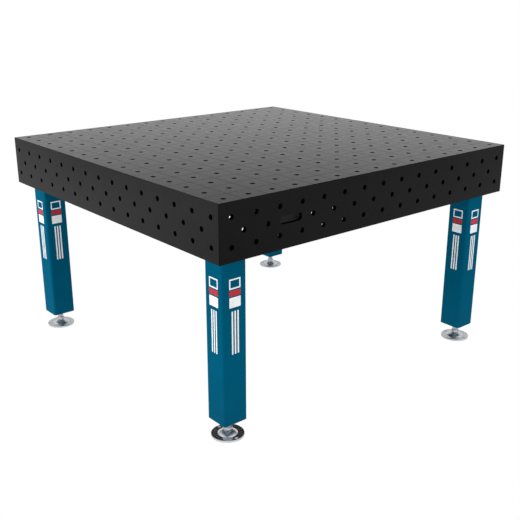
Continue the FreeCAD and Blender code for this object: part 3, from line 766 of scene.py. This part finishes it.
def weld_corner_plates(heap):
    """Beads under each corner plate, along the two side plates it sits against."""
    leg, margin = 7 * MM, 10 * MM
    for corner in CORNERS:
        low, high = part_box(corner + "_corner_plate")
        middle = (low + high) / 2
        in_x, in_y = (X if middle.x < 0 else -X), (Y if middle.y < 0 else -Y)
        x = low.x if middle.x < 0 else high.x
        y = low.y if middle.y < 0 else high.y
        top = high.z
        add_bead(heap, (low.x + margin, y, top), (high.x - margin, y, top), in_y, Z, leg, 1)
        add_bead(heap, (x, low.y + margin, top), (x, high.y - margin, top), in_x, Z, leg, 2)


def weld_legs(heap):
    """Fillet all round the top of each leg tube, under its flange."""
    leg, round_off = 6 * MM, 12 * MM
    for corner in CORNERS:
        low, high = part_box(corner + "_leg_tube")
        z = high.z
        for x, out in ((low.x, -X), (high.x, X)):
            add_bead(heap, (x, low.y + round_off, z), (x, high.y - round_off, z), out, -Z, leg, x)
        for y, out in ((low.y, -Y), (high.y, Y)):
            add_bead(heap, (low.x + round_off, y, z), (high.x - round_off, y, z), out, -Z, leg, y)


def make_welds():
    """Two pieces: the beads of the dark box top and the painted ones of the legs."""
    ceiling = table_low.z
    frame_heap = Heap()
    weld_perimeter(frame_heap, ceiling)
    for node in LONG_RIBS:
        weld_rib(frame_heap, node, ceiling, True)
    for node in CROSS_RIBS:
        weld_rib(frame_heap, node, ceiling, False)
    weld_crossings(frame_heap)
    weld_corner_plates(frame_heap)
    points, faces = frame_heap.points, frame_heap.faces
    new_piece("frame_weld_beads", points, faces, "weld_metal", FRAME_BODY)
    leg_heap = Heap()
    weld_legs(leg_heap)
    new_piece("leg_weld_beads", leg_heap.points, leg_heap.faces, "blue_paint", FRAME_BODY)


# ---------------------------------------------------------------- studio

FLOOR_REACH = 40.0
FLOOR_IN_MIRRORS = 0.31
FLOOR_ON_MATT = 0.62
SKY_IN_MIRRORS = 1.12
SKY_ON_MATT = 0.54
# How bright the sky is in a mirror, by height from the horizon (0) to the zenith (1).
SKY_ENDS = ((0.0, 1.0), (1.0, 0.9))
SKY_BETWEEN = ((0.13, 1.0), (0.31, 0.38), (0.55, 0.72))


def make_floor():
    """Plain pale floor that lights the table and shows in its mirrors.

    The camera looks through it at the equally white surroundings, so that a foot
    screwed out below floor level stays in sight. It is clear from below as well.
    """
    size = FLOOR_REACH
    mesh = bpy.data.meshes.new("floor")
    corners = [(-size, -size, 0), (size, -size, 0), (size, size, 0), (-size, size, 0)]
    mesh.from_pydata(corners, [], [(0, 1, 2, 3)])
    floor = bpy.data.objects.new("floor", mesh)
    bpy.context.scene.collection.objects.link(floor)
    shader = Shader("floor")
    rays = shader.add("LightPath")
    seen = rays.outputs["Is Camera Ray"]
    mirrored = rays.outputs["Is Glossy Ray"]
    pale = shader.add("BsdfDiffuse", color=rgb(0.8, 0.8, 0.8))
    glow = shader.add("Emission", color=rgb(1, 1, 1))
    mirror_glow = shader.math("MULTIPLY", mirrored, FLOOR_IN_MIRRORS)
    bounce_glow = shader.math("MULTIPLY", rays.outputs["Is Diffuse Ray"], FLOOR_ON_MATT)
    shader.put(glow.inputs["Strength"], shader.math("ADD", mirror_glow, bounce_glow))
    both = shader.add("AddShader")
    shader.put(both.inputs[0], pale.outputs[0])
    shader.put(both.inputs[1], glow.outputs[0])
    below = shader.add("NewGeometry").outputs["Backfacing"]
    clear = shader.add("BsdfTransparent")
    sided = shader.add("MixShader")
    shader.put(sided.inputs[0], shader.math("MAXIMUM", below, seen))
    shader.put(sided.inputs[1], both.outputs[0])
    shader.put(sided.inputs[2], clear.outputs[0])
    shader.put(shader.output.inputs["Surface"], sided.outputs[0])
    mesh.materials.append(shader.material)


def mirrored_sky(tree, rays):
    """Brightness of the sky: plain white to the camera, and by height in mirrors."""
    place = tree.nodes.new("ShaderNodeTexCoord")
    parts = tree.nodes.new("ShaderNodeSeparateXYZ")
    tree.links.new(place.outputs["Generated"], parts.inputs[0])
    curve = tree.nodes.new("ShaderNodeFloatCurve")
    tree.links.new(parts.outputs["Z"], curve.inputs["Value"])
    line = curve.mapping.curves[0]
    for point, place_on_line in zip(line.points, SKY_ENDS):
        point.location = place_on_line
    for height, brightness in SKY_BETWEEN:
        line.points.new(height, brightness)
    curve.mapping.update()
    scaled = tree.nodes.new("ShaderNodeMath")
    scaled.operation = "MULTIPLY"
    scaled.inputs[1].default_value = SKY_IN_MIRRORS
    tree.links.new(curve.outputs[0], scaled.inputs[0])
    seen = tree.nodes.new("ShaderNodeMix")
    seen.data_type = "FLOAT"
    tree.links.new(rays.outputs["Is Camera Ray"], seen.inputs["Factor"])
    tree.links.new(scaled.outputs[0], seen.inputs["A"])
    seen.inputs["B"].default_value = 1.0
    return seen.outputs[0]


def make_world():
    """White surroundings, dimmer as a light than they look, so that the lamps shape the table."""
    world = bpy.data.worlds.new("studio")
    bpy.context.scene.world = world
    world.use_nodes = True
    tree = world.node_tree
    tree.nodes.clear()
    output = tree.nodes.new("ShaderNodeOutputWorld")
    background = tree.nodes.new("ShaderNodeBackground")
    rays = tree.nodes.new("ShaderNodeLightPath")
    strength = tree.nodes.new("ShaderNodeMix")
    strength.data_type = "FLOAT"
    tree.links.new(rays.outputs["Is Diffuse Ray"], strength.inputs["Factor"])
    strength.inputs["B"].default_value = SKY_ON_MATT
    tree.links.new(strength.outputs[0], background.inputs["Strength"])
    tree.links.new(mirrored_sky(tree, rays), strength.inputs["A"])
    background.inputs["Color"].default_value = rgb(1.0, 1.0, 1.0)
    tree.links.new(background.outputs[0], output.inputs["Surface"])


def add_area(name, place, aim, size, power):
    """Soft square light that looks at a point and isn't seen in mirrors."""
    lamp = bpy.data.lights.new(name, "AREA")
    lamp.shape = "SQUARE"
    lamp.size = size
    lamp.energy = power
    light = bpy.data.objects.new(name, lamp)
    light.location = place
    direction = Vector(aim) - Vector(place)
    light.rotation_euler = direction.to_track_quat("-Z", "Y").to_euler()
    light.visible_glossy = False
    bpy.context.scene.collection.objects.link(light)


def make_lights():
    """A stronger light from the left and a weaker one from the front, in metres and watts."""
    middle = (0, 0, 0.5)
    add_area("key_light", place=(-4.2, 1.3, 1.6), aim=middle, size=2.6, power=118)
    add_area("front_light", place=(1.4, -5.0, 2.0), aim=middle, size=2.6, power=64)


def make_camera():
    """Camera at the reference view: over the front left corner, looking down a little."""
    azimuth, elevation = math.radians(50.009), math.radians(-18.982)
    look = Vector((
        math.cos(elevation) * math.cos(azimuth),
        math.cos(elevation) * math.sin(azimuth),
        math.sin(elevation),
    ))
    data = bpy.data.cameras.new("camera")
    data.sensor_width = 36
    data.lens = 54.56
    data.clip_start = 0.05
    data.clip_end = 200
    camera = bpy.data.objects.new("camera", data)
    camera.location = (-2.13745, -2.59068, 1.49548)
    camera.rotation_mode = "QUATERNION"
    camera.rotation_quaternion = look.to_track_quat("-Z", "Y")
    bpy.context.scene.collection.objects.link(camera)
    bpy.context.scene.camera = camera


# ---------------------------------------------------------------- the whole scene

dress_cad_nodes()
for corner_name in CORNERS:
    make_spindle(corner_name)
    make_lock_nut(corner_name)
    make_washer(corner_name)
    make_pad(corner_name)
make_leg_bolts()
make_leg_nuts()
make_welds()
make_floor()
make_world()
make_lights()
make_camera()
bpy.context.scene.view_settings.view_transform = "Standard"
